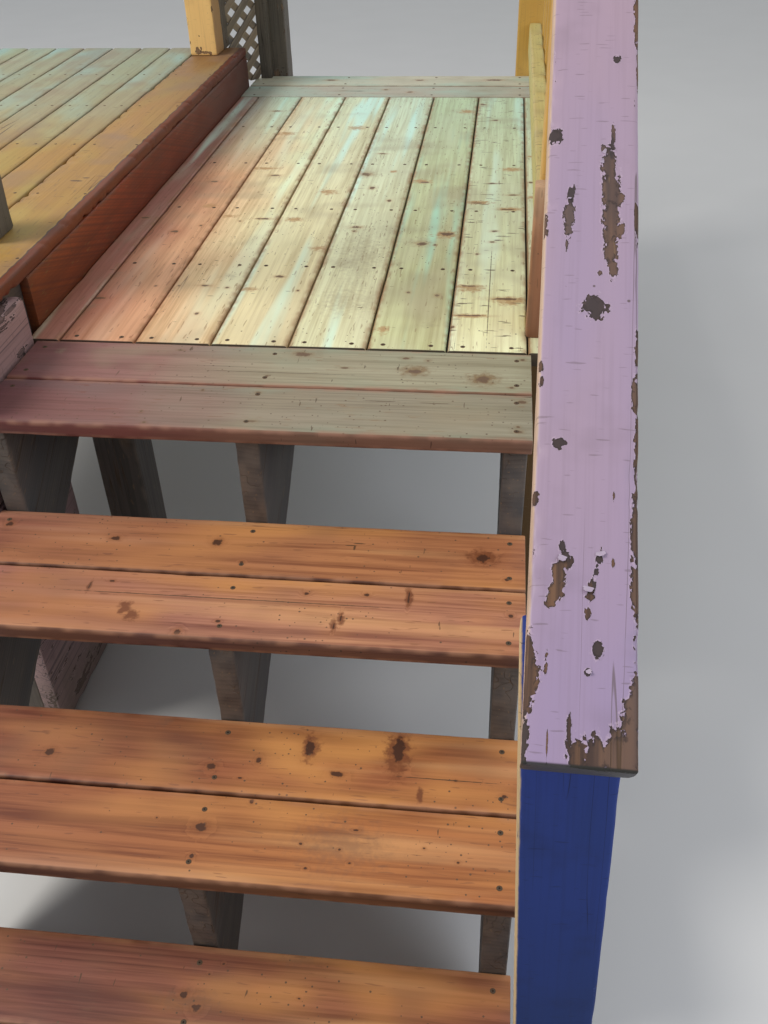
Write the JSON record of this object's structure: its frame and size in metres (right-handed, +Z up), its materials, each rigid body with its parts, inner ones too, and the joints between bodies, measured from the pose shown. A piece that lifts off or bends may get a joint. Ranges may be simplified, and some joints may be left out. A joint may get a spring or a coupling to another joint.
{
  "type": "wooden deck stairs",
  "caption": "Open-riser wooden deck stairs with landing, sloped handrail, side guard and a raised porch deck beside them.",
  "frame": {"origin": "on the ground, in the middle of the whole footprint", "axes": "+Z up, +Y from the foot of the stairs towards the far edge of the landing, +X to the right of someone going up"},
  "size_m": [1.972, 3.203, 1.776],
  "materials": {
    "tread_cedar": "oiled cedar, eased edges, knots",
    "landing_cedar": "weathered cedar, dusty",
    "weathered_frame": "grey weathered softwood",
    "lavender_paint": "old gloss paint, peeling to bare wood",
    "bare_pine": "bare sawn softwood",
    "ochre_paint": "worn yellow paint",
    "grey_green_paint": "dark weathered paint",
    "porch_ochre": "worn deck paint",
    "fascia_stain": "red-brown stain",
    "skirt_paint": "pale paint, peeling"
  },
  "bodies": {
    "root": {"tread_1": "tread_cedar", "tread_2": "tread_cedar", "tread_3": "tread_cedar", "left_stringer": "weathered_frame", "middle_stringer": "weathered_frame", "right_stringer": "weathered_frame", "landing_front_boards": "landing_cedar", "landing_board_1": "landing_cedar", "landing_board_2": "landing_cedar", "landing_board_3": "landing_cedar", "landing_board_4": "landing_cedar", "landing_board_5": "landing_cedar", "landing_board_6": "landing_cedar", "landing_left_strip": "landing_cedar", "landing_right_strip": "landing_cedar", "landing_far_boards": "landing_cedar", "landing_left_rim": "weathered_frame", "landing_right_rim": "weathered_frame", "landing_end_rims": "weathered_frame", "landing_joists": "weathered_frame", "landing_leg": "weathered_frame", "lower_newel": "lavender_paint", "upper_newel": "lavender_paint", "newel_block": "bare_pine", "handrail_cap": "lavender_paint", "stair_rail": "lavender_paint", "guard_bottom_rail": "ochre_paint", "guard_top_rail": "ochre_paint", "guard_cap": "ochre_paint", "guard_balusters": "ochre_paint", "far_right_post": "ochre_paint", "far_left_post": "grey_green_paint", "corner_lattice": "grey_green_paint", "lattice_battens": "grey_green_paint", "porch_edge_board": "porch_ochre", "porch_boards": "porch_ochre", "porch_fascia": "fascia_stain", "porch_right_rim": "weathered_frame", "porch_left_rim": "weathered_frame", "porch_end_rims": "weathered_frame", "porch_joists": "weathered_frame", "porch_legs": "weathered_frame", "porch_skirt": "skirt_paint", "porch_corner_post": "ochre_paint", "porch_near_post": "grey_green_paint"}
  },
  "joints": []
}
